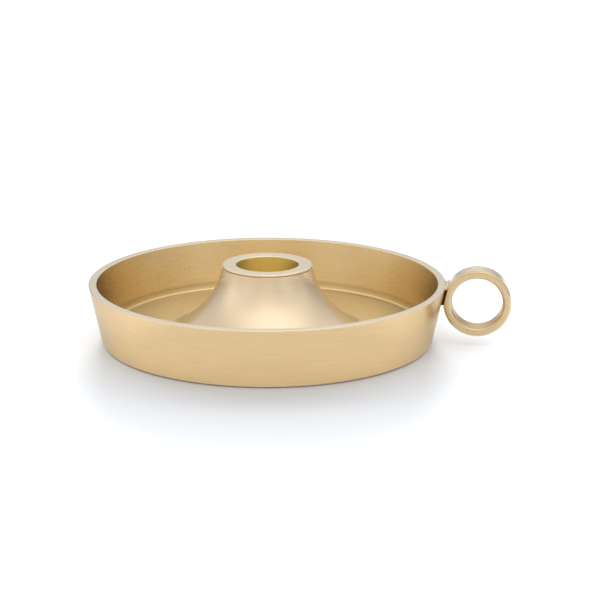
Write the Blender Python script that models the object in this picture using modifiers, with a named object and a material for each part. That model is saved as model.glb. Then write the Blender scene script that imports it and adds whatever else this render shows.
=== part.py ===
"""Chamberstick: a tapered dish with a flared candle cone in its middle and a finger ring on its wall.

The Z axis is the lathe axis of the dish and the cone, Z = 0 is the table, and the ring is at +X.
Metres throughout. Turned pieces are a half outline in the XZ plane with a Screw modifier.
"""
import math

import bpy

MM = 0.001
GAP = 0.3 * MM                      # running gap between neighbouring pieces

# Dish
RIM_RADIUS = 65.0 * MM              # outside, at the top of the wall
RIM_WIDTH = 3.0 * MM
RIM_TOP = 21.9 * MM
RIM_CHAMFER = 0.3 * MM
FOOT_RADIUS = 60.2 * MM             # outside, at the bottom of the wall
FOOT_BOTTOM = GAP                   # the felt stands this far proud of the metal
FOOT_ROUND = 1.2 * MM
FLOOR_TOP = 3.6 * MM
FLOOR_RADIUS = 58.5 * MM            # where floor and wall would meet without the fillet
FLOOR_FILLET = 1.8 * MM

# Underside of the dish: felt recess and raised centre
FELT_THICKNESS = 1.0 * MM
FELT_RADIUS = 54.5 * MM
RECESS_RADIUS = 55.0 * MM
RECESS_TOP = FELT_THICKNESS + GAP
PLATEAU_RADIUS = 26.0 * MM
PLATEAU_TOP = 6.6 * MM
PLATEAU_CHAMFER = 0.4 * MM
PLATE_THICKNESS = 2.2 * MM

# Candle cup: lining of the bore with the flat collar on top
COLLAR_RADIUS = 16.4 * MM
COLLAR_TOP = 28.2 * MM
COLLAR_THICKNESS = 0.9 * MM
COLLAR_CHAMFER = 0.3 * MM
BORE_RADIUS = 11.25 * MM
BORE_CHAMFER = 0.5 * MM
BORE_BOTTOM_ROUND = 1.0 * MM
CUP_RADIUS = 12.3 * MM
CUP_FLOOR = 0.9 * MM

# Candle cone: its flare is an arc of an ellipse, as (radius, height) about the lathe axis
FLARE_CENTRE = (76.65 * MM, 30.18 * MM)
FLARE_HALF_AXES = (60.34 * MM, 36.59 * MM)
FLARE_BOTTOM = 4.9 * MM
FLARE_POINTS = 13
CONE_FOOT_RADIUS = 36.5 * MM
CONE_LIP = 0.4 * MM
CONE_LIP_RISE = 0.56 * MM           # height of the lip's middle above the cone's bottom
CONE_WEB = 3.1 * MM

# Screw and washer that clamp the cone
SHANK_RADIUS = 2.0 * MM
SCREW_CLEARANCE_RADIUS = 2.4 * MM
SCREW_HEAD_RADIUS = 4.5 * MM
SCREW_HEAD_HEIGHT = 1.6 * MM
SCREW_HEAD_EDGE = 0.6 * MM
SCREW_CROWN = (3.6 * MM, 0.4 * MM)         # (radius, depth) where the head's dome turns flatter
SCREW_FACE_RADIUS = 2.25 * MM
SHANK_CHAMFER = 0.4 * MM
HEX_SIDES = 6
HEX_ACROSS_FLATS = 2.5 * MM
HEX_DEPTH = 0.9 * MM
WASHER_RADIUS = 4.4 * MM
WASHER_THICKNESS = 0.9 * MM
WASHER_SPLIT = 0.8 * MM

# Finger ring
RING_RADIUS = 12.3 * MM
RING_THICKNESS = 3.0 * MM
RING_WIDTH = 8.2 * MM
RING_CENTRE = (76.4 * MM, 16.15 * MM)      # (x, z)
RING_OUTER_ROUND = 0.4 * MM
RING_INNER_ROUND = 0.8 * MM
RING_FLAT_GAP = 1.1 * MM                   # from the wall to the ring's ground flat

# Lug between the wall and the ring
LUG_WIDTH = 7.2 * MM
LUG_BOTTOM = 13.6 * MM
LUG_TOP = 22.7 * MM

# Steps round the lathe axis
BIG_STEPS = 80
CONE_STEPS = 64
SMALL_STEPS = 48
SCREW_STEPS = 32
ARC_POINTS = 5
RING_ARC_POINTS = 3
MERGE_DISTANCE = 1e-5

# Heights that follow
HUB_RECESS_TOP = PLATEAU_TOP - PLATE_THICKNESS
HUB_RECESS_RADIUS = PLATEAU_RADIUS - PLATE_THICKNESS
CONE_BOTTOM = FLOOR_TOP + GAP
POCKET_TOP = PLATEAU_TOP + GAP
WEB_TOP = POCKET_TOP + CONE_WEB
CONE_TOP = COLLAR_TOP - COLLAR_THICKNESS - GAP
CUP_BOTTOM = WEB_TOP + GAP
WALL_SLOPE = (RIM_RADIUS - FOOT_RADIUS) / (RIM_TOP - RIM_CHAMFER - FOOT_BOTTOM)
WALL_LEAN = math.atan(WALL_SLOPE)


# ---------------------------------------------------------------- outlines

def arc(centre, radius, start, end, points=ARC_POINTS):
    """Points on a circle from one angle to another, in degrees, in the (radius, height) plane."""
    result = []
    for i in range(points):
        angle = math.radians(start + (end - start) * i / (points - 1))
        result.append((centre[0] + radius * math.cos(angle), centre[1] + radius * math.sin(angle)))
    return result


def wall_outside(height):
    """Radius of the dish wall's outer face at a height."""
    return FOOT_RADIUS + WALL_SLOPE * (height - FOOT_BOTTOM)


def flare_radius(height):
    """Radius of the cone's flare at a height."""
    drop = (height - FLARE_CENTRE[1]) / FLARE_HALF_AXES[1]
    return FLARE_CENTRE[0] - FLARE_HALF_AXES[0] * math.sqrt(1 - drop * drop)


def dish_outline():
    rim_inner = RIM_RADIUS - RIM_WIDTH
    inner_slope = (rim_inner - FLOOR_RADIUS) / (RIM_TOP - FLOOR_TOP)
    inner_lean = math.atan(inner_slope)
    fillet_height = FLOOR_TOP + FLOOR_FILLET
    fillet_radius = FLOOR_RADIUS + inner_slope * FLOOR_FILLET - FLOOR_FILLET / math.cos(inner_lean)
    foot_height = FOOT_BOTTOM + FOOT_ROUND
    foot_radius = wall_outside(foot_height) - FOOT_ROUND / math.cos(WALL_LEAN)
    points = [
        (SCREW_CLEARANCE_RADIUS, PLATEAU_TOP),
        (PLATEAU_RADIUS - PLATEAU_CHAMFER, PLATEAU_TOP),
        (PLATEAU_RADIUS, PLATEAU_TOP - PLATEAU_CHAMFER),
        (PLATEAU_RADIUS, FLOOR_TOP),
    ]
    points += arc((fillet_radius, fillet_height), FLOOR_FILLET, -90, -math.degrees(inner_lean))
    points += [
        (rim_inner - inner_slope * RIM_CHAMFER, RIM_TOP - RIM_CHAMFER),
        (rim_inner + RIM_CHAMFER, RIM_TOP),
        (RIM_RADIUS - RIM_CHAMFER, RIM_TOP),
        (RIM_RADIUS, RIM_TOP - RIM_CHAMFER),
    ]
    points += arc((foot_radius, foot_height), FOOT_ROUND, -math.degrees(WALL_LEAN), -90)
    points += [
        (RECESS_RADIUS, FOOT_BOTTOM),
        (RECESS_RADIUS, RECESS_TOP),
        (HUB_RECESS_RADIUS, RECESS_TOP),
        (HUB_RECESS_RADIUS, HUB_RECESS_TOP),
        (SCREW_CLEARANCE_RADIUS, HUB_RECESS_TOP),
    ]
    return points


def cone_outline():
    seat_radius = CUP_RADIUS + GAP
    points = [(seat_radius, WEB_TOP), (seat_radius, CONE_TOP)]
    for i in range(FLARE_POINTS):
        share = i / (FLARE_POINTS - 1)
        height = CONE_TOP + (FLARE_BOTTOM - CONE_TOP) * math.sin(share * math.pi / 2)
        points.append((flare_radius(height), height))
    foot_middle = (flare_radius(FLARE_BOTTOM) + CONE_FOOT_RADIUS) / 2
    points += [
        (foot_middle, CONE_BOTTOM + CONE_LIP_RISE),
        (CONE_FOOT_RADIUS, CONE_BOTTOM + CONE_LIP),
        (CONE_FOOT_RADIUS, CONE_BOTTOM),
        (PLATEAU_RADIUS + GAP, CONE_BOTTOM),
        (PLATEAU_RADIUS + GAP, POCKET_TOP),
        (SHANK_RADIUS + GAP, POCKET_TOP),
        (SHANK_RADIUS + GAP, WEB_TOP),
    ]
    return points


def cup_outline():
    inside_floor = CUP_BOTTOM + CUP_FLOOR
    round_centre = (BORE_RADIUS - BORE_BOTTOM_ROUND, inside_floor + BORE_BOTTOM_ROUND)
    collar_bottom = COLLAR_TOP - COLLAR_THICKNESS
    return [(0, inside_floor)] + arc(round_centre, BORE_BOTTOM_ROUND, -90, 0) + [
        (BORE_RADIUS, COLLAR_TOP - BORE_CHAMFER),
        (BORE_RADIUS + BORE_CHAMFER, COLLAR_TOP),
        (COLLAR_RADIUS - COLLAR_CHAMFER, COLLAR_TOP),
        (COLLAR_RADIUS, COLLAR_TOP - COLLAR_CHAMFER),
        (COLLAR_RADIUS, collar_bottom),
        (CUP_RADIUS, collar_bottom),
        (CUP_RADIUS, CUP_BOTTOM + COLLAR_CHAMFER),
        (CUP_RADIUS - COLLAR_CHAMFER, CUP_BOTTOM),
        (0, CUP_BOTTOM),
    ]


def screw_outline():
    head_bottom = RECESS_TOP
    head_top = head_bottom + SCREW_HEAD_HEIGHT
    tip = WEB_TOP - GAP
    return [
        (0, tip),
        (SHANK_RADIUS - SHANK_CHAMFER, tip),
        (SHANK_RADIUS, tip - SHANK_CHAMFER),
        (SHANK_RADIUS, head_top),
        (SCREW_HEAD_RADIUS, head_top),
        (SCREW_HEAD_RADIUS, head_top - SCREW_HEAD_EDGE),
        (SCREW_CROWN[0], head_bottom + SCREW_CROWN[1]),
        (SCREW_FACE_RADIUS, head_bottom),
        (0, head_bottom),
    ]


def washer_outline():
    top = HUB_RECESS_TOP - GAP
    bottom = top - WASHER_THICKNESS
    return [
        (SCREW_CLEARANCE_RADIUS, top),
        (WASHER_RADIUS, top),
        (WASHER_RADIUS, bottom),
        (SCREW_CLEARANCE_RADIUS, bottom),
    ]


def ring_outline():
    """Cross-section of the band, with its width along the ring's own axis."""
    inner = RING_RADIUS - RING_THICKNESS
    half = RING_WIDTH / 2
    corners = [
        (inner + RING_INNER_ROUND, half - RING_INNER_ROUND, RING_INNER_ROUND, 180),
        (RING_RADIUS - RING_OUTER_ROUND, half - RING_OUTER_ROUND, RING_OUTER_ROUND, 90),
        (RING_RADIUS - RING_OUTER_ROUND, RING_OUTER_ROUND - half, RING_OUTER_ROUND, 0),
        (inner + RING_INNER_ROUND, RING_INNER_ROUND - half, RING_INNER_ROUND, -90),
    ]
    points = []
    for radius, height, corner_round, start in corners:
        points += arc((radius, height), corner_round, start, start - 90, RING_ARC_POINTS)
    return points


def lug_outline():
    """Outline in (x, z) between the wall and the ring's flat, rising beside the rim."""
    across = math.cos(WALL_LEAN)
    near = GAP / across
    far = (RING_FLAT_GAP - GAP) / across
    return [
        (wall_outside(LUG_BOTTOM) + near, LUG_BOTTOM),
        (wall_outside(LUG_BOTTOM) + far, LUG_BOTTOM),
        (wall_outside(LUG_TOP) + far, LUG_TOP),
        (RIM_RADIUS + near, LUG_TOP),
        (RIM_RADIUS + near, RIM_TOP - RIM_CHAMFER),
    ]


# ---------------------------------------------------------------- Blender tools

def clear_scene():
    for item in list(bpy.data.objects):
        bpy.data.objects.remove(item)


def new_collection(name):
    collection = bpy.data.collections.new(name)
    bpy.context.scene.collection.children.link(collection)
    return collection


def new_material(name, colour, metallic, roughness):
    material = bpy.data.materials.new(name)
    material.use_nodes = True
    shader = material.node_tree.nodes["Principled BSDF"]
    shader.inputs["Base Color"].default_value = (*colour, 1)
    shader.inputs["Metallic"].default_value = metallic
    shader.inputs["Roughness"].default_value = roughness
    material.diffuse_color = (*colour, 1)
    return material


def turned(name, outline, steps, collection, closed):
    """A piece turned about Z. A closed outline stays off the axis, an open one starts and ends on it."""
    mesh = bpy.data.meshes.new(name)
    edges = [(i, i + 1) for i in range(len(outline) - 1)]
    if closed:
        edges.append((len(outline) - 1, 0))
    mesh.from_pydata([(radius, 0, height) for radius, height in outline], edges, [])
    piece = bpy.data.objects.new(name, mesh)
    collection.objects.link(piece)
    screw = piece.modifiers.new("turn", "SCREW")
    screw.axis = "Z"
    screw.steps = steps
    screw.render_steps = steps
    screw.use_merge_vertices = True
    screw.merge_threshold = MERGE_DISTANCE
    screw.use_smooth_shade = True
    return piece


def cut(piece, cutter):
    boolean = piece.modifiers.new("cut", "BOOLEAN")
    boolean.operation = "DIFFERENCE"
    boolean.solver = "EXACT"
    boolean.object = cutter
    cutter.hide_render = True
    cutter.display_type = "WIRE"


def move_to(item, collection):
    for owner in list(item.users_collection):
        owner.objects.unlink(item)
    collection.objects.link(item)


def box(name, size, centre, collection):
    bpy.ops.mesh.primitive_cube_add(size=1, location=centre)
    item = bpy.context.object
    item.name = name
    item.scale = size
    bpy.ops.object.transform_apply(location=False, rotation=False, scale=True)
    move_to(item, collection)
    return item


# ---------------------------------------------------------------- pieces

def make_dish(parts):
    dish = turned("dish_pan", dish_outline(), BIG_STEPS, parts, closed=True)
    dish.data.materials.append(new_material("dish_brass", (0.70, 0.51, 0.28), 1.0, 0.38))


def make_cone(parts):
    cone = turned("candle_cone", cone_outline(), CONE_STEPS, parts, closed=True)
    cone.data.materials.append(new_material("cone_brass", (0.72, 0.53, 0.30), 1.0, 0.36))


def make_cup(parts):
    cup = turned("candle_cup", cup_outline(), SMALL_STEPS, parts, closed=False)
    cup.data.materials.append(new_material("cup_brass", (0.73, 0.54, 0.26), 1.0, 0.28))


def make_felt(parts):
    bpy.ops.mesh.primitive_cylinder_add(
        vertices=CONE_STEPS, radius=FELT_RADIUS, depth=FELT_THICKNESS, location=(0, 0, FELT_THICKNESS / 2))
    felt = bpy.context.object
    felt.name = "base_felt"
    move_to(felt, parts)
    felt.data.materials.append(new_material("felt", (0.03, 0.03, 0.032), 0.0, 0.95))


def make_screw(parts, cutters):
    screw = turned("clamp_screw", screw_outline(), SCREW_STEPS, parts, closed=False)
    screw.data.materials.append(new_material("screw_steel", (0.55, 0.56, 0.58), 1.0, 0.35))
    bpy.ops.mesh.primitive_cylinder_add(
        vertices=HEX_SIDES, radius=HEX_ACROSS_FLATS / math.sqrt(3), depth=2 * HEX_DEPTH, location=(0, 0, RECESS_TOP))
    socket = bpy.context.object
    socket.name = "hex_socket_cutter"
    move_to(socket, cutters)
    cut(screw, socket)


def make_washer(parts, cutters):
    washer = turned("spring_washer", washer_outline(), SCREW_STEPS, parts, closed=True)
    washer.data.materials.append(new_material("washer_steel", (0.50, 0.51, 0.53), 1.0, 0.42))
    height = HUB_RECESS_TOP - GAP - WASHER_THICKNESS / 2
    split = box("washer_split_cutter", (2 * WASHER_RADIUS, WASHER_SPLIT, 2 * WASHER_THICKNESS),
                (WASHER_RADIUS, 0, height), cutters)
    cut(washer, split)


def make_ring(parts, cutters):
    ring = turned("finger_ring", ring_outline(), SMALL_STEPS, parts, closed=True)
    ring.data.materials.append(new_material("ring_brass", (0.72, 0.54, 0.31), 1.0, 0.34))
    ring.rotation_euler = (math.pi / 2, 0, 0)
    ring.location = (RING_CENTRE[0], 0, RING_CENTRE[1])
    side = 2 * RING_RADIUS
    offset = RING_FLAT_GAP / math.cos(WALL_LEAN) - side / 2 / math.cos(WALL_LEAN)
    grinder = box("ring_flat_cutter", (side, side, 2 * side),
                  (wall_outside(RING_CENTRE[1]) + offset, 0, RING_CENTRE[1]), cutters)
    grinder.rotation_euler = (0, WALL_LEAN, 0)
    cut(ring, grinder)


def make_lug(parts):
    outline = bpy.data.curves.new("ring_lug_outline", "CURVE")
    outline.dimensions = "2D"
    outline.fill_mode = "BOTH"
    outline.extrude = LUG_WIDTH / 2
    points = lug_outline()
    spline = outline.splines.new("POLY")
    spline.points.add(len(points) - 1)
    for point, (x, z) in zip(spline.points, points):
        point.co = (x, z, 0, 1)
    spline.use_cyclic_u = True
    lug = bpy.data.objects.new("ring_lug", outline)
    lug.rotation_euler = (math.pi / 2, 0, 0)
    parts.objects.link(lug)
    outline.materials.append(new_material("lug_brass", (0.68, 0.50, 0.28), 1.0, 0.40))


def main():
    clear_scene()
    parts = new_collection("chamberstick")
    cutters = new_collection("cutters")
    make_dish(parts)
    make_cone(parts)
    make_cup(parts)
    make_felt(parts)
    make_screw(parts, cutters)
    make_washer(parts, cutters)
    make_ring(parts, cutters)
    make_lug(parts)


main()
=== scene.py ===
"""Looks of the chamberstick: finely turned satin brass, felt and steel on a pale floor in soft light.

Lengths are in metres, in the frame's own axes: Z is the lathe axis, Z = 0 the table, +X the ring's side.
"""

import math

import bpy
import numpy as np
from mathutils import Matrix, Vector


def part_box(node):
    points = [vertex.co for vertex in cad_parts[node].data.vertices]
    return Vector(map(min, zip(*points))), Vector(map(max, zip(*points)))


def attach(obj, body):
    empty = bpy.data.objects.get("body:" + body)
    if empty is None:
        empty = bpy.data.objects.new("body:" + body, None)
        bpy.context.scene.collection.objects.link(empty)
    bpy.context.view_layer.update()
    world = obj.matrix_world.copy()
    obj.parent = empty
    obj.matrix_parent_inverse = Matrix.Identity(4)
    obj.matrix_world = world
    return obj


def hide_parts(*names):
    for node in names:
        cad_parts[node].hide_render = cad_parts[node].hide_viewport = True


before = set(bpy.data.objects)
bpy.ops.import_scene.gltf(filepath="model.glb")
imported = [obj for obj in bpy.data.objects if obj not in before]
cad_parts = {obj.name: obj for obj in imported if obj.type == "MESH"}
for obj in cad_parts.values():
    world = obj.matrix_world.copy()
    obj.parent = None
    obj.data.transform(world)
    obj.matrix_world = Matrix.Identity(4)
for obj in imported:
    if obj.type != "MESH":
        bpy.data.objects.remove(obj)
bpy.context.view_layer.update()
boxes = {node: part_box(node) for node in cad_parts}

MM = 0.001

# Dish
RIM_WIDTH = 3.0 * MM
RIM_ROUND = 0.35 * MM
FOOT_RADIUS = 60.2 * MM
FOOT_BOTTOM = 0.3 * MM
FOOT_ROUND = 1.2 * MM
FLOOR_TOP = 3.6 * MM
FLOOR_RADIUS = 58.5 * MM
FLOOR_FILLET = 1.1 * MM
RECESS_RADIUS = 55.0 * MM
RECESS_TOP = 1.3 * MM
PLATEAU_RADIUS = 26.0 * MM
PLATEAU_TOP = 6.6 * MM
PLATE_THICKNESS = 2.2 * MM
SCREW_CLEARANCE_RADIUS = 2.4 * MM
SMALL_ROUND = 0.2 * MM
RIM_INNER_CORNER = 4                # number of the rim's inner corner in dish_corners()

# Cone and cup
FLARE_CENTRE = (76.65 * MM, 30.18 * MM)
FLARE_HALF_AXES = (60.34 * MM, 36.59 * MM)
FLARE_POINTS = 40
FOOT_BLEND_START = 4.3 * MM
FOOT_BLEND_POINTS = 9
CONE_EDGE = 0.15 * MM
WEB_TOP = 10.0 * MM
POCKET_TOP = 6.9 * MM
CLEARANCE = 0.3 * MM
CONE_SINK = 0.02 * MM               # the cone's rim reaches this far into the dish's floor
COLLAR_THICKNESS = 0.9 * MM
COLLAR_GROOVE = 0.06 * MM
COLLAR_ROUND = 0.45 * MM
BORE_RADIUS = 11.25 * MM
BORE_ROUND = 0.45 * MM
BORE_BOTTOM_ROUND = 1.2 * MM
CUP_RADIUS = 12.3 * MM
CUP_FLOOR = 0.9 * MM
BORE_MOUTH_CORNER = 2               # number of the bore's upper corner in cup_corners()

# Finger ring and its lug
RING_THICKNESS = 3.1 * MM
RING_OUTER_ROUND = 1.0 * MM
RING_INNER_ROUND = 1.1 * MM
RING_FLAT_GAP = 0.75 * MM           # from the wall to the ring's ground flat
RING_INNER_CORNER = 1               # number of the hole's front corner in ring_corners()
LUG_BOTTOM = 14.5 * MM
LUG_SADDLE = 22.5 * MM              # height of the saddle's middle
LUG_RISE = 0.7 * MM                 # up to the ring
LUG_DIP = 0.65 * MM                 # down to the rim
LUG_STEP = 20.2 * MM                # below this the braze is a narrow web, deep in the crevice
LUG_STEP_HEIGHT = 0.7 * MM
LUG_WEB = 0.9 * MM
LUG_FRONT = 3.8 * MM
LUG_BACK = 4.0 * MM
LUG_SPREAD = 1.4 * MM
LUG_HOLLOW = 0.10                   # share of the front taken away halfway between wall and ring
LUG_BITE = 0.05 * MM                # into the wall and the ring
LUG_OVERLAP = 0.4 * MM              # further into the wall, above the step
LUG_EDGE_ROUND = 0.35 * MM
LUG_EDGE_START = 0.5 * MM           # below the top
LUG_LEVELS = 30
LUG_LEVEL_POWER = 1.5               # levels get closer towards the top
LUG_SLICES = 13
LUG_TOP_STEPS = 8

# Turning
TURN_STEPS = 256
RING_STEPS = 192
ARC_STEPS = 7
LONGEST_STEP = 1.2 * MM
HOLD = 0.06 * MM                    # from a straight stretch's ends to its first and last added point

# Finish of the brass. A dash pattern is (length round the axis, spacing along the outline).
FINE_DASHES = (9.0 * MM, 0.35 * MM)
COARSE_DASHES = (14.0 * MM, 0.8 * MM)
FINE_SHARE = 0.6
COARSE_SHARE = 0.4
PATCH_SCALE = 70.0
PATCH_TONE = 0.025
DASH_ROUGHNESS = 0.05
PATCH_ROUGHNESS = 0.03
EDGE_POLISH = 0.08
ANISOTROPY = 0.5
ACROSS_THE_LINES = 0.25             # turns of the shader's anisotropy away from the tangent
LACQUER_ROUGHNESS = 0.25
# pale colour painted on outward edges, the rim's top and the ring's outer face: rubbed wear and painted
# highlight
RUBBED_AND_HIGHLIT_COLOUR = (1.0, 0.97, 0.92)

# The dish's floor is painted paler, a painted sheen, and low on its wall runs a band painted darker, a
# painted shade
FLOOR_FULL = 52.0 * MM              # radius inside which the floor's tone is full
FLOOR_NONE = 57.5 * MM
BAND_HEIGHT = 6.0 * MM
BAND_HALF_WIDTH = 1.2 * MM
BAND_SHADE = 0.77

# Other finishes. A grain is (noise scale, depth, strength), and tones are factors of the colour.
BRAZE_GRAIN = (2500.0, 1e-5, 0.6)
BRAZE_PATCH_SCALE = 300.0
BRAZE_TONES = (0.94, 1.03)
BRAZE_ROUGHNESS = (0.22, 0.36)
BRAZE_SPECULAR = 0.1
CREVICE_ROUGHNESS = 0.4                # added to the braze's
STEEL_GRAIN = (1800.0, 1.5e-5, 0.5)
STEEL_PATCH_SCALE = 350.0
STEEL_TONES = (0.88, 1.06)
STEEL_ROUGHNESS = (0.26, 0.44)
FELT_GRAIN = (2600.0, 1.2e-4, 0.8)
FELT_TONES = (0.6, 1.5)
FELT_CLUMP_SCALE = 260.0
FELT_CLUMP_TONE = 0.8
FELT_ROUGHNESS = 0.95
FELT_SHEEN = 0.3
FELT_SHEEN_ROUGHNESS = 0.6
TABLE_GRAIN_SCALE = 30.0
TABLE_ROUGHNESS = 0.9
TABLE_SPECULAR = 0.1

# Colours
DISH_COLOUR = (0.838, 0.611, 0.33)
# painted shade: a darker copy of the dish's brass for its inside
DISH_INSIDE_SHADED_COLOUR = (0.802, 0.597, 0.292)
# painted sheen on the dish's floor
DISH_FLOOR_SHEEN_COLOUR = (0.90, 0.73, 0.46)
CONE_COLOUR = (0.854, 0.677, 0.45)
COLLAR_COLOUR = (0.86, 0.69, 0.44)
# painted light: a lighter, yellower copy of the cup's brass for its bore
BORE_PAINTED_LIGHT_COLOUR = (0.99, 0.83, 0.38)
RING_COLOUR = (0.64, 0.46, 0.23)
# painted shade: a darker copy of the ring's brass for its hole
RING_HOLE_SHADED_COLOUR = (0.6, 0.43, 0.21)
BRAZE_COLOUR = (0.84, 0.66, 0.40)
# painted shade in the braze's crevice
CREVICE_SHADE_COLOUR = (0.16, 0.09, 0.035)
FELT_COLOUR = (0.06, 0.06, 0.065)
SCREW_COLOUR = (0.62, 0.63, 0.65)
WASHER_COLOUR = (0.52, 0.53, 0.55)
TABLE_COLOURS = (0.628, 0.645, 0.67), (0.638, 0.655, 0.68)

# Camera, by its direction and the point it aims at
CAMERA_YAW = math.radians(5.0)
CAMERA_ELEVATION = math.radians(15.67)
CAMERA_ROLL = math.radians(0.138)
CAMERA_DISTANCE = 0.8
CAMERA_LENS_MM = 130.845
CAMERA_AIM_RIGHT = 11.9 * MM
CAMERA_AIM_UP = 13.7 * MM
CAMERA_LIFT = 0.3 * MM
CAMERA_CLIP_END = 50.0

TABLE_SIZE = 8.0

# Soft lights of the tent round the object: (azimuth, elevation, radiance). Azimuth 0 is behind the camera
# and 90 on its right.
TENT_LIGHTS = [
    (0, 62, 0.86), (60, 62, 1.09), (120, 62, 0.31), (240, 62, 0.08), (300, 62, 0.85),
    (0, 35, 0.27), (90, 35, 0.49), (135, 35, 0.42), (180, 35, 1.54), (225, 35, 0.27), (270, 35, 0.52),
    (315, 35, 0.11), (0, 10, 0.73), (45, 10, 0.90), (90, 10, 0.49), (135, 10, 0.36), (180, 10, 0.11),
    (225, 10, 0.52), (270, 10, 0.84), (315, 10, 0.87),
]
TENT_SHARPNESS = 9.0
TENT_GREY = 0.8
# Lights of the floor alone, mostly from behind so that the object's shadow falls forward:
# (azimuth, elevation, angle across, radiance).
FLOOR_LIGHTS = [
    (180, 15, 20, 0.287), (180, 22, 25, 0.057), (180, 35, 45, 0.067), (140, 35, 45, 0.151),
    (220, 35, 45, 0.173), (0, 60, 60, 0.112),
]
# A weak disc of light on the table that lifts the foot of the object's front
FOOT_GLOW_RADIUS = 62 * MM
FOOT_GLOW_AHEAD = 22 * MM
FOOT_GLOW_HEIGHT = 0.1 * MM
FOOT_GLOW_RADIANCE = 0.18


# ---------------------------------------------------------------- outlines

def rounded(corners, closed, mouth=0, crest=None):
    """Points (radius, height, edge, inner) through (radius, height, rounding) corners, rounded by arcs.

    edge is 1 on an outward corner, -1 on an inward one and 0 between them, except that it stays 1 from
    the corner numbered crest to the next. inner is 1 from the first corner to the one numbered mouth, and
    0 elsewhere.
    """
    points = []
    count = len(corners)
    for i, (radius, height, rounding) in enumerate(corners):
        here = Vector((radius, height))
        inner = 1.0 if i < mouth else 0.0
        if rounding == 0 or (not closed and i in (0, count - 1)):
            points.append((radius, height, 0.0, inner))
            continue
        back = (Vector(corners[i - 1][:2]) - here).normalized()
        ahead = (Vector(corners[(i + 1) % count][:2]) - here).normalized()
        half = back.angle(ahead) / 2
        centre = here + (back + ahead).normalized() * rounding / math.sin(half)
        start = here + back * rounding / math.tan(half) - centre
        end = here + ahead * rounding / math.tan(half) - centre
        turn = math.atan2(start.x * end.y - start.y * end.x, start.dot(end))
        outward = 1.0 if turn < 0 else -1.0
        for k in range(ARC_STEPS):
            share = k / (ARC_STEPS - 1)
            spoke = Matrix.Rotation(turn * share, 2) @ start
            place = min(share, 0.5) if i == crest else share
            if crest is not None and i == crest + 1:
                place = max(share, 0.5)
            strength = outward * math.sin(math.pi * place)
            if mouth and i == mouth:
                inner = max(0.0, 1.0 - 2.0 * share)
            elif mouth and i == 0:
                inner = min(1.0, 2.0 * share)
            points.append((centre.x + spoke.x, centre.y + spoke.y, strength, inner))
    return points


def densified(points, closed):
    """The outline with its long straight stretches divided, and held close to their ends."""
    result = []
    count = len(points)
    for i in range(count if closed else count - 1):
        here, there = np.array(points[i]), np.array(points[(i + 1) % count])
        length = math.hypot(*(there - here)[:2])
        result.append(tuple(here))
        if length > 4 * HOLD:
            parts = math.ceil(length / LONGEST_STEP)
            shares = [HOLD / length] + [k / parts for k in range(1, parts)] + [1 - HOLD / length]
            result += [tuple((1 - s) * here + s * there) for s in shares]
    if not closed:
        result.append(tuple(points[-1]))
    return result


def flare_radius(height):
    """Radius of the cone's flare at a height: an arc of an ellipse."""
    drop = (height - FLARE_CENTRE[1]) / FLARE_HALF_AXES[1]
    return FLARE_CENTRE[0] - FLARE_HALF_AXES[0] * math.sqrt(1 - drop * drop)


def dish_corners():
    """From the screw's hole out over the floor, up the wall, over the rim, and back along the underside."""
    rim, top = boxes["dish_pan"][1].yz
    hub = PLATEAU_RADIUS - PLATE_THICKNESS
    return [
        (SCREW_CLEARANCE_RADIUS, PLATEAU_TOP, SMALL_ROUND),
        (PLATEAU_RADIUS, PLATEAU_TOP, 2 * SMALL_ROUND),
        (PLATEAU_RADIUS, FLOOR_TOP, SMALL_ROUND),
        (FLOOR_RADIUS, FLOOR_TOP, FLOOR_FILLET),
        (rim - RIM_WIDTH, top, RIM_ROUND),
        (rim, top, RIM_ROUND),
        (FOOT_RADIUS, FOOT_BOTTOM, FOOT_ROUND),
        (RECESS_RADIUS, FOOT_BOTTOM, SMALL_ROUND),
        (RECESS_RADIUS, RECESS_TOP, SMALL_ROUND),
        (hub, RECESS_TOP, SMALL_ROUND),
        (hub, PLATEAU_TOP - PLATE_THICKNESS, SMALL_ROUND),
        (SCREW_CLEARANCE_RADIUS, PLATEAU_TOP - PLATE_THICKNESS, SMALL_ROUND),
    ]


def cone_corners():
    """The flare runs down an ellipse and leaves it for an arc that meets the dish's floor tangentially."""
    top = boxes["candle_cup"][1].z - COLLAR_THICKNESS - COLLAR_GROOVE
    seat = CUP_RADIUS + CLEARANCE
    corners = [(seat, WEB_TOP, 0), (seat, top, CONE_EDGE), (flare_radius(top), top, CONE_EDGE)]
    for k in range(1, FLARE_POINTS):
        share = math.sin(k / (FLARE_POINTS - 1) * math.pi / 2)
        height = top + (FOOT_BLEND_START - top) * share
        corners.append((flare_radius(height), height, 0))
    (r0, z0, _), (r1, z1, _) = corners[-2:]
    angle = math.atan2(z0 - z1, r1 - r0)
    drop = FOOT_BLEND_START - FLOOR_TOP
    blend = drop / (1 - math.cos(angle))
    for k in range(1, FOOT_BLEND_POINTS):
        left = angle * (1 - k / (FOOT_BLEND_POINTS - 1))
        corners.append((r1 + blend * (math.sin(angle) - math.sin(left)),
                        FLOOR_TOP + blend * (1 - math.cos(left)), 0))
    corners += [
        (corners[-1][0], FLOOR_TOP - CONE_SINK, 0),
        (PLATEAU_RADIUS + CLEARANCE, FLOOR_TOP - CONE_SINK, 0),
        (PLATEAU_RADIUS + CLEARANCE, POCKET_TOP, 0),
        (SCREW_CLEARANCE_RADIUS, POCKET_TOP, 0),
        (SCREW_CLEARANCE_RADIUS, WEB_TOP, 0),
    ]
    return corners


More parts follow.
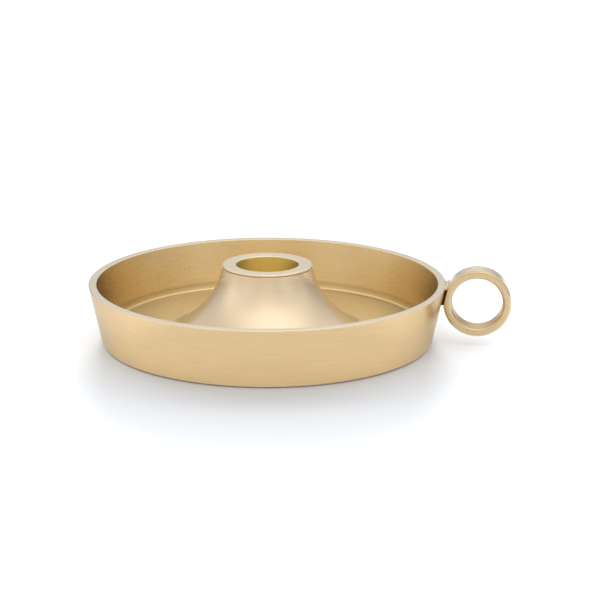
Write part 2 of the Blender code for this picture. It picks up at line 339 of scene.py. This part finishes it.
def cup_corners():
    """From the middle of the bore's floor up the bore, over the collar, and down the outside."""
    low, high = boxes["candle_cup"]
    inside = low.z + CUP_FLOOR
    under = high.z - COLLAR_THICKNESS
    return [
        (0, inside, 0),
        (BORE_RADIUS, inside, BORE_BOTTOM_ROUND),
        (BORE_RADIUS, high.z, BORE_ROUND),
        (high.y, high.z, COLLAR_ROUND),
        (high.y, under, SMALL_ROUND),
        (CUP_RADIUS, under, SMALL_ROUND),
        (CUP_RADIUS, low.z, 2 * SMALL_ROUND),
        (0, low.z, 0),
    ]


def ring_corners(radius, half_width):
    """The band's cross-section, with its hole first."""
    inner = radius - RING_THICKNESS
    return [
        (inner, -half_width, RING_INNER_ROUND),
        (inner, half_width, RING_INNER_ROUND),
        (radius, half_width, RING_OUTER_ROUND),
        (radius, -half_width, RING_OUTER_ROUND),
    ]


def wall_outside(height):
    """Radius of the dish's outer face at a height."""
    high = boxes["dish_pan"][1]
    return FOOT_RADIUS + (high.y - FOOT_RADIUS) * (height - FOOT_BOTTOM) / (high.z - FOOT_BOTTOM)


# ---------------------------------------------------------------- meshes

def new_piece(name, points, faces, fields=None):
    """A smooth mesh object, with point fields as float attributes."""
    mesh = bpy.data.meshes.new(name)
    mesh.from_pydata([tuple(p) for p in points], [], faces)
    mesh.validate()
    for field, values in (fields or {}).items():
        attribute = mesh.attributes.new(field, "FLOAT", "POINT")
        attribute.data.foreach_set("value", np.array(values, np.float32))
    mesh.shade_smooth()
    piece = bpy.data.objects.new(name, mesh)
    bpy.context.scene.collection.objects.link(piece)
    return piece


def turned(name, corners, steps, closed, mouth=0, crest=None):
    """A turned mesh, with the length along its outline, the edge strength and the inner zone as fields."""
    outline = densified(rounded(corners, closed, mouth, crest), closed)
    radii, heights, edges, inners = (np.array(column) for column in zip(*outline))
    along = np.concatenate([[0], np.cumsum(np.hypot(np.diff(radii), np.diff(heights)))])
    points, first = [], []
    fields = {"along": [], "edge": [], "inner": []}
    for radius, height, edge, length, inner in zip(radii, heights, edges, along, inners):
        first.append(len(points))
        spokes = 1 if radius == 0 else steps
        for k in range(spokes):
            angle = 2 * math.pi * k / steps
            points.append((radius * math.cos(angle), radius * math.sin(angle), height))
        fields["along"] += [length] * spokes
        fields["edge"] += [edge] * spokes
        fields["inner"] += [inner] * spokes
    faces = []
    count = len(outline)
    for i in range(count if closed else count - 1):
        j = (i + 1) % count
        for k in range(steps):
            after = (k + 1) % steps
            if radii[i] == 0:
                faces.append((first[i], first[j] + k, first[j] + after))
            elif radii[j] == 0:
                faces.append((first[i] + k, first[j], first[i] + after))
            else:
                faces.append((first[i] + k, first[j] + k, first[j] + after, first[i] + after))
    return new_piece(name, points, faces, fields)


def make_ring():
    """The band, turned about its own axis and ground flat where it faces the wall."""
    low, high = boxes["finger_ring"]
    radius = (high.z - low.z) / 2
    centre = Vector((high.x - radius, 0, (high.z + low.z) / 2))
    corners = ring_corners(radius, (high.y - low.y) / 2)
    # crest keeps the edge field at 1 over the band's outer face, which is painted paler: painted highlight
    ring = turned("finger_ring_band", corners, RING_STEPS, closed=True, mouth=RING_INNER_CORNER,
                  crest=RING_INNER_CORNER + 1)
    ring.matrix_world = Matrix.Translation(centre) @ Matrix.Rotation(math.pi / 2, 4, "X")
    lean = math.atan((wall_outside(centre.z) - FOOT_RADIUS) / (centre.z - FOOT_BOTTOM))
    outward = Vector((math.cos(lean), 0, -math.sin(lean)))
    foot = Vector((wall_outside(0), 0, 0))
    to_local = ring.matrix_world.inverted()
    for vertex in ring.data.vertices:
        place = ring.matrix_world @ vertex.co
        lack = RING_FLAT_GAP - (place - foot).dot(outward)
        if lack > 0:
            vertex.co = to_local @ (place + outward * lack)
    return ring


def ease(value, start, end):
    """0 before start, 1 after end, and smooth between them."""
    share = min(1.0, max(0.0, (value - start) / (end - start)))
    return share * share * (3 - 2 * share)


def ring_outside(height):
    """x of the ring's outer face at a height, on the side of the wall."""
    low, high = boxes["finger_ring"]
    radius = (high.z - low.z) / 2
    rise = min(radius, abs(height - (high.z + low.z) / 2))
    circle = high.x - radius - math.sqrt(radius * radius - rise * rise)
    return max(circle, wall_outside(height) + RING_FLAT_GAP)


def lug_section(share):
    """One slice of the braze as (side, height), from its foot up the front, over the saddle and down."""
    top = LUG_SADDLE + (LUG_RISE if share > 0.5 else -LUG_DIP) * (2 * share - 1) ** 2
    front, back = [], []
    for k in range(LUG_LEVELS):
        climb = 1 - (1 - k / (LUG_LEVELS - 1)) ** LUG_LEVEL_POWER
        height = LUG_BOTTOM + (top - LUG_BOTTOM) * climb
        full = ease(height, LUG_STEP, LUG_STEP + LUG_STEP_HEIGHT)
        bend = ease(height, top - LUG_EDGE_START, top)
        round_off = LUG_EDGE_ROUND * (1 - math.sqrt(1 - bend ** 2))
        hollow = 1 - LUG_HOLLOW * 4 * share * (1 - share)
        ahead = LUG_WEB + (LUG_FRONT * hollow - LUG_WEB) * full
        behind = LUG_WEB + (LUG_BACK + LUG_SPREAD * (1 - share) ** 2 - LUG_WEB) * full
        front.append((-ahead + round_off, height))
        back.append((behind - round_off, height))
    left, right = front[-1][0], back[-1][0]
    across = [(left + (right - left) * k / LUG_TOP_STEPS, top) for k in range(1, LUG_TOP_STEPS)]
    return front + across + back[::-1]


def make_lug():
    """The braze: a narrow web low down, and above it a saddle that runs from the rim to the ring."""
    points, crevice_shade = [], []
    sections = [lug_section(k / (LUG_SLICES - 1)) for k in range(LUG_SLICES)]
    for k, section in enumerate(sections):
        share = k / (LUG_SLICES - 1)
        for side, height in section:
            above_step = ease(height, LUG_STEP, LUG_STEP + LUG_STEP_HEIGHT)
            near = min(wall_outside(height), boxes["dish_pan"][1].y) - LUG_BITE - LUG_OVERLAP * above_step
            far = ring_outside(height) + LUG_BITE
            points.append((near + share * (far - near), side, height))
            # marks the web below the step for painted shade in the crevice
            crevice_shade.append(1 - above_step)
    faces = []
    count = len(sections[0])
    for i in range(LUG_SLICES - 1):
        for k in range(count):
            after = (k + 1) % count
            faces.append((i * count + k, (i + 1) * count + k, (i + 1) * count + after, i * count + after))
    faces.append(tuple(range(count)))
    faces.append(tuple(reversed(range((LUG_SLICES - 1) * count, LUG_SLICES * count))))
    return new_piece("ring_lug_braze", points, faces, {"crevice_shade": crevice_shade})


# ---------------------------------------------------------------- materials

class Material:
    """Short hand for one material's nodes."""

    def __init__(self, name):
        self.material = bpy.data.materials.new(name)
        self.material.use_nodes = True
        self.tree = self.material.node_tree
        self.shader = self.tree.nodes["Principled BSDF"]

    def node(self, kind, inputs=None, **settings):
        node = self.tree.nodes.new("ShaderNode" + kind)
        for key, value in settings.items():
            setattr(node, key, value)
        for key, value in (inputs or {}).items():
            self.put(node.inputs[key], value)
        return node

    def put(self, socket, value):
        if isinstance(value, bpy.types.NodeSocket):
            self.tree.links.new(value, socket)
        else:
            socket.default_value = value

    def set(self, **values):
        for key, value in values.items():
            self.put(self.shader.inputs[key.replace("_", " ")], value)

    def math(self, operation, a, b=0.0):
        return self.node("Math", {0: a, 1: b}, operation=operation).outputs[0]

    def noise(self, vector, scale, detail=2.0, roughness=0.5):
        inputs = {"Vector": vector, "Scale": scale, "Detail": detail, "Roughness": roughness}
        return self.node("TexNoise", inputs).outputs["Fac"]

    def spread(self, value, low, high):
        """A value near 0 to 1 stretched to the range from low to high."""
        return self.node("MapRange", {"Value": value, "To Min": low, "To Max": high}).outputs["Result"]

    def mix(self, factor, a, b):
        """Colour a where the factor is 0, b where it is 1. The numbers are the Mix node's colour sockets."""
        return self.node("Mix", {0: factor, 6: a, 7: b}, data_type="RGBA").outputs[2]

    def field(self, name):
        return self.node("Attribute", attribute_name=name).outputs["Fac"]

    def place(self):
        return self.node("TexCoord").outputs["Object"]

    def grain(self, place, grain, **settings):
        """A fine noise and the normal of the bumps that it makes."""
        scale, depth, strength = grain
        noise = self.noise(place, scale, **settings)
        bump = self.node("Bump", {"Height": noise, "Distance": depth, "Strength": strength})
        return noise, bump.outputs["Normal"]


def turning_lines(make, dashes, roughness):
    """Noise that runs round the lathe axis in dashes."""
    length, spacing = dashes
    stretch = (1 / length, 1 / length, 0)
    place = make.place()
    flat = make.node("VectorMath", {0: place, 1: stretch}, operation="MULTIPLY").outputs[0]
    height = make.math("MULTIPLY", make.field("along"), 1 / spacing)
    lift = make.node("CombineXYZ", {"Z": height}).outputs[0]
    drawn = make.node("VectorMath", {0: flat, 1: lift}, operation="ADD").outputs[0]
    return make.noise(drawn, 1.0, detail=2.0, roughness=roughness)


def tinted(colour, factor=1.0):
    """RGBA of a colour made lighter or darker by a factor."""
    return (*[min(1.0, c * factor) for c in colour], 1.0)


def floor_zones(make, inner):
    """Two masks inside the dish: its floor, painted paler as a painted sheen, and a band low on the wall,
    painted darker as painted shade.
    """
    place = make.place()
    flat = make.node("VectorMath", {0: place, 1: (1, 1, 0)}, operation="MULTIPLY").outputs[0]
    radius = make.node("VectorMath", {0: flat}, operation="LENGTH").outputs["Value"]
    height = make.node("SeparateXYZ", {0: place}).outputs["Z"]
    off_middle = make.math("ABSOLUTE", make.math("SUBTRACT", height, BAND_HEIGHT))
    masks = []
    for value, full, none in ((radius, FLOOR_FULL, FLOOR_NONE), (off_middle, 0.0, BAND_HALF_WIDTH)):
        inputs = {"Value": value, "From Min": none, "From Max": full}
        mask = make.node("MapRange", inputs, interpolation_type="SMOOTHSTEP").outputs["Result"]
        masks.append(make.math("MULTIPLY", mask, inner))
    return masks


def brass(name, colour, inner_colour, roughness=0.28, inner_roughness=0.28, coat=1.0, inner_coat=1.0,
          tint=0.65, depth=1.2e-6, streaks=0.05, rub_and_highlight=0.3, floor_sheen_colour=None):
    """Lacquered satin brass: fine turned lines, faint patches, and edges painted paler, partly rubbed wear
    and partly painted highlight.

    The inner colour, roughness and coat hold in the inner zone of the piece; an inner colour lighter than
    the outer one is painted light, and a darker one painted shade. floor_sheen_colour paints the dish's
    floor paler, a painted sheen, and a band low on its wall darker, a painted shade. tint is the shader's
    colour of glancing reflections, depth the bump of the lines, streaks their tone, and rub_and_highlight
    the paleness painted on
    edges: rubbed wear and painted highlight.
    """
    make = Material(name)
    fine = turning_lines(make, FINE_DASHES, roughness=0.6)
    coarse = turning_lines(make, COARSE_DASHES, roughness=0.5)
    patches = make.noise(make.place(), PATCH_SCALE, detail=3.0)
    edge = make.math("MAXIMUM", make.field("edge"), 0.0)
    inner = make.field("inner")
    lines = make.math("ADD", make.math("MULTIPLY", fine, FINE_SHARE),
                      make.math("MULTIPLY", coarse, COARSE_SHARE))
    # the inner zone's colour: a painted lighter copy in the bore, and painted darker copies inside the dish
    # and in the ring's hole
    zone = make.mix(inner, tinted(colour), tinted(inner_colour))
    shade = make.math("MULTIPLY", make.spread(lines, 1 - streaks, 1 + streaks),
                      make.spread(patches, 1 - PATCH_TONE, 1 + PATCH_TONE))
    # the dish's floor painted paler, a painted sheen, and a band low on its wall painted darker, a painted
    # shade
    if floor_sheen_colour:
        floor_sheen, shade_band = floor_zones(make, inner)
        zone = make.mix(floor_sheen, zone, tinted(floor_sheen_colour))
        shade = make.math("MULTIPLY", shade, make.spread(shade_band, 1.0, BAND_SHADE))
    # edges, the rim's top and the ring's outer face painted paler: rubbed wear and painted highlight
    zone = make.mix(make.math("MULTIPLY", edge, rub_and_highlight), zone, tinted(RUBBED_AND_HIGHLIT_COLOUR))
    body = make.node("VectorMath", {0: zone, "Scale": shade}, operation="SCALE").outputs[0]
    uneven = make.math("ADD", make.spread(lines, -DASH_ROUGHNESS, DASH_ROUGHNESS),
                       make.spread(patches, -PATCH_ROUGHNESS, PATCH_ROUGHNESS))
    rough = make.math("ADD", make.spread(inner, roughness, inner_roughness), uneven)
    rough = make.math("SUBTRACT", rough, make.math("MULTIPLY", edge, EDGE_POLISH))
    bump = make.node("Bump", {"Height": lines, "Distance": depth, "Strength": 1.0}).outputs["Normal"]
    tangent = make.node("Tangent", direction_type="RADIAL", axis="Z").outputs[0]
    make.set(Base_Color=body, Metallic=1.0, Roughness=rough, Normal=bump, Tangent=tangent,
             Anisotropic=ANISOTROPY, Anisotropic_Rotation=ACROSS_THE_LINES,
             Specular_Tint=(tint, tint, tint, 1), Coat_Weight=coat, Coat_Roughness=LACQUER_ROUGHNESS)
    if inner_coat != coat:
        make.set(Coat_Weight=make.spread(inner, coat, inner_coat))
    return make.material


def braze_metal(name, colour, crevice_shade_colour):
    """Filed braze, with the crevice below it painted dark and matt: painted shade."""
    make = Material(name)
    place = make.place()
    bump = make.grain(place, BRAZE_GRAIN, detail=3.0)[1]
    patches = make.noise(place, BRAZE_PATCH_SCALE, detail=2.0)
    # painted shade in the crevice below the saddle
    crevice_shade = make.field("crevice_shade")
    body = make.mix(patches, *[tinted(colour, tone) for tone in BRAZE_TONES])
    body = make.mix(crevice_shade, body, tinted(crevice_shade_colour))
    rough = make.math("ADD", make.spread(patches, *BRAZE_ROUGHNESS),
                      make.math("MULTIPLY", crevice_shade, CREVICE_ROUGHNESS))
    unshaded = make.spread(crevice_shade, 1.0, 0.0)
    make.set(Base_Color=body, Metallic=unshaded, Roughness=rough, Normal=bump, Coat_Weight=unshaded,
             Coat_Roughness=LACQUER_ROUGHNESS, Specular_IOR_Level=BRAZE_SPECULAR)
    return make.material


def plated_steel(name, colour):
    """Zinc-plated steel with a fine grain and cloudy patches."""
    make = Material(name)
    place = make.place()
    bump = make.grain(place, STEEL_GRAIN, detail=3.0)[1]
    patches = make.noise(place, STEEL_PATCH_SCALE, detail=2.0)
    body = make.mix(patches, *[tinted(colour, tone) for tone in STEEL_TONES])
    make.set(Base_Color=body, Metallic=1.0, Roughness=make.spread(patches, *STEEL_ROUGHNESS), Normal=bump)
    return make.material


def wool_felt(name, colour):
    """Pressed felt: short fibres, thicker in clumps."""
    make = Material(name)
    place = make.place()
    fibres, bump = make.grain(place, FELT_GRAIN, detail=4.0, roughness=0.7)
    clumps = make.noise(place, FELT_CLUMP_SCALE, detail=3.0)
    body = make.mix(make.spread(fibres, -0.2, 1.2), *[tinted(colour, tone) for tone in FELT_TONES])
    body = make.mix(make.spread(clumps, -0.3, 0.8), body, tinted(colour, FELT_CLUMP_TONE))
    make.set(Base_Color=body, Roughness=FELT_ROUGHNESS, Normal=bump, Sheen_Weight=FELT_SHEEN,
             Sheen_Roughness=FELT_SHEEN_ROUGHNESS)
    return make.material


def floor_paint(name, colours):
    """Matt paint that wavers faintly between two colours."""
    make = Material(name)
    grain = make.noise(make.place(), TABLE_GRAIN_SCALE, detail=2.0)
    body = make.mix(grain, *[tinted(colour) for colour in colours])
    make.set(Base_Color=body, Roughness=TABLE_ROUGHNESS, Specular_IOR_Level=TABLE_SPECULAR)
    return make.material


# ---------------------------------------------------------------- pieces

def dress(piece, node, material):
    """The piece stands for a CAD node, which it hides; it takes the given material and hangs under the root
    body.
    """
    piece.data.materials.append(material)
    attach(piece, "root")
    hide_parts(node)


def dress_node(node, material):
    """A CAD node that stays, with a better material."""
    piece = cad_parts[node]
    for place in piece.material_slots:
        place.material = material


def make_felt():
    """The felt disc, with a slightly rounded edge."""
    low, high = boxes["base_felt"]
    corners = [(0, high.z, 0), (high.y, high.z, SMALL_ROUND), (high.y, low.z, SMALL_ROUND), (0, low.z, 0)]
    return turned("base_felt_disc", corners, TURN_STEPS, closed=False)


def make_object():
    """All pieces. The ones that shade the table are returned."""
    # crest keeps the edge field at 1 over the rim's top, which is painted paler: painted highlight
    dish = turned("dish_pan_turned", dish_corners(), TURN_STEPS, closed=True, mouth=RIM_INNER_CORNER + 1,
                  crest=RIM_INNER_CORNER)
    dress(dish, "dish_pan",
          brass("satin_brass_dish", DISH_COLOUR, DISH_INSIDE_SHADED_COLOUR, roughness=0.31, coat=0.2, depth=1.6e-6,
                streaks=0.13, floor_sheen_colour=DISH_FLOOR_SHEEN_COLOUR))
    cone = turned("candle_cone_turned", cone_corners(), TURN_STEPS, closed=True)
    dress(cone, "candle_cone", brass("satin_brass_cone", CONE_COLOUR, CONE_COLOUR, depth=2e-6))
    cup = turned("candle_cup_turned", cup_corners(), TURN_STEPS, closed=False, mouth=BORE_MOUTH_CORNER)
    dress(cup, "candle_cup",
          brass("satin_brass_cup", COLLAR_COLOUR, BORE_PAINTED_LIGHT_COLOUR, inner_roughness=0.38, inner_coat=0.0,
                streaks=0.08))
    dress(make_ring(), "finger_ring",
          brass("satin_brass_ring", RING_COLOUR, RING_HOLE_SHADED_COLOUR, inner_roughness=0.34, inner_coat=0.0,
                tint=1.0, rub_and_highlight=0.18))
    dress(make_lug(), "ring_lug", braze_metal("brazed_brass", BRAZE_COLOUR, CREVICE_SHADE_COLOUR))
    felt = make_felt()
    dress(felt, "base_felt", wool_felt("black_felt", FELT_COLOUR))
    dress_node("clamp_screw", plated_steel("zinc_screw", SCREW_COLOUR))
    dress_node("spring_washer", plated_steel("zinc_washer", WASHER_COLOUR))
    return [dish, cone, cup]


# ---------------------------------------------------------------- stage

def make_floor():
    """A plain pale floor, wide enough to fill the view."""
    bpy.ops.mesh.primitive_plane_add(size=TABLE_SIZE, location=(0, 0, 0))
    floor = bpy.context.object
    floor.name = "floor"
    floor.data.materials.append(floor_paint("pale_floor", TABLE_COLOURS))
    return floor


def make_camera():
    """The photograph's viewing angle."""
    yaw = Matrix.Rotation(CAMERA_YAW, 3, "Z")
    sine, cosine = math.sin(CAMERA_ELEVATION), math.cos(CAMERA_ELEVATION)
    right = yaw @ Vector((1, 0, 0))
    up = yaw @ Vector((0, sine, cosine))
    back = yaw @ Vector((0, -cosine, sine))
    camera = bpy.data.objects.new("camera", bpy.data.cameras.new("camera"))
    camera.data.lens = CAMERA_LENS_MM
    camera.data.clip_end = CAMERA_CLIP_END
    axes = Matrix((right, up, back)).transposed() @ Matrix.Rotation(CAMERA_ROLL, 3, "Z")
    place = right * CAMERA_AIM_RIGHT + up * CAMERA_AIM_UP + back * CAMERA_DISTANCE
    camera.matrix_world = Matrix.Translation(place + Vector((0, 0, CAMERA_LIFT))) @ axes.to_4x4()
    bpy.context.scene.collection.objects.link(camera)
    bpy.context.scene.camera = camera


def direction(azimuth, elevation):
    """Unit vector towards an azimuth, counted from behind the camera, and an elevation, in degrees."""
    turn, lift = math.radians(azimuth) + CAMERA_YAW, math.radians(elevation)
    return Vector((math.sin(turn) * math.cos(lift), -math.cos(turn) * math.cos(lift), math.sin(lift)))


def make_tent():
    """A world of soft round lights, each falling off exponentially from its middle."""
    world = bpy.data.worlds.new("studio_tent")
    bpy.context.scene.world = world
    world.use_nodes = True
    tree = world.node_tree

    def maths(operation, a, b, c=0.0):
        node = tree.nodes.new("ShaderNodeMath")
        node.operation = operation
        for socket, value in zip(node.inputs, (a, b, c)):
            if isinstance(value, bpy.types.NodeSocket):
                tree.links.new(value, socket)
            else:
                socket.default_value = value
        return node.outputs[0]

    look = tree.nodes.new("ShaderNodeTexCoord").outputs["Generated"]
    total = 0.0
    for azimuth, elevation, radiance in TENT_LIGHTS:
        towards = tree.nodes.new("ShaderNodeVectorMath")
        towards.operation = "DOT_PRODUCT"
        tree.links.new(look, towards.inputs[0])
        towards.inputs[1].default_value = direction(azimuth, elevation)
        fall = maths("MULTIPLY_ADD", towards.outputs["Value"], TENT_SHARPNESS, -TENT_SHARPNESS)
        total = maths("MULTIPLY_ADD", maths("EXPONENT", fall, 0.0), radiance, total)
    tree.links.new(total, tree.nodes["Background"].inputs["Strength"])
    tree.nodes["Background"].inputs["Color"].default_value = (TENT_GREY, TENT_GREY, TENT_GREY, 1)


def make_floor_lights(floor, shading):
    """Suns that light only the floor, shaded only by the shading pieces."""
    lit = bpy.data.collections.new("lit_by_floor_lights")
    shades = bpy.data.collections.new("shades_floor_lights")
    lit.objects.link(floor)
    for collection in (lit, shades):
        bpy.context.scene.collection.children.link(collection)
    for piece in shading:
        shades.objects.link(piece)
    for i, (azimuth, elevation, across, radiance) in enumerate(FLOOR_LIGHTS):
        light = bpy.data.lights.new(f"floor_light_{i}", "SUN")
        light.angle = math.radians(across)
        light.energy = math.pi * radiance / math.sin(math.radians(elevation))
        lamp = bpy.data.objects.new(f"floor_light_{i}", light)
        lamp.rotation_euler = (-direction(azimuth, elevation)).to_track_quat("-Z", "Y").to_euler()
        lamp.light_linking.receiver_collection = lit
        lamp.light_linking.blocker_collection = shades
        bpy.context.scene.collection.objects.link(lamp)


def make_foot_glow(pieces):
    """The disc that lights only the pieces, from below."""
    light = bpy.data.lights.new("foot_glow", "AREA")
    light.shape = "DISK"
    light.size = 2 * FOOT_GLOW_RADIUS
    light.energy = FOOT_GLOW_RADIANCE * (math.pi * FOOT_GLOW_RADIUS) ** 2
    lamp = bpy.data.objects.new("foot_glow", light)
    lamp.location = direction(0, 0) * FOOT_GLOW_AHEAD + Vector((0, 0, FOOT_GLOW_HEIGHT))
    lamp.rotation_euler = (math.pi, 0, 0)
    lamp.visible_camera = False
    lit = bpy.data.collections.new("lit_by_foot_glow")
    bpy.context.scene.collection.children.link(lit)
    for piece in pieces:
        lit.objects.link(piece)
    lamp.light_linking.receiver_collection = lit
    bpy.context.scene.collection.objects.link(lamp)


def main():
    shading = make_object()
    floor = make_floor()
    make_camera()
    make_tent()
    make_floor_lights(floor, shading)
    make_foot_glow(shading)
    bpy.context.scene.view_settings.view_transform = "Standard"


main()
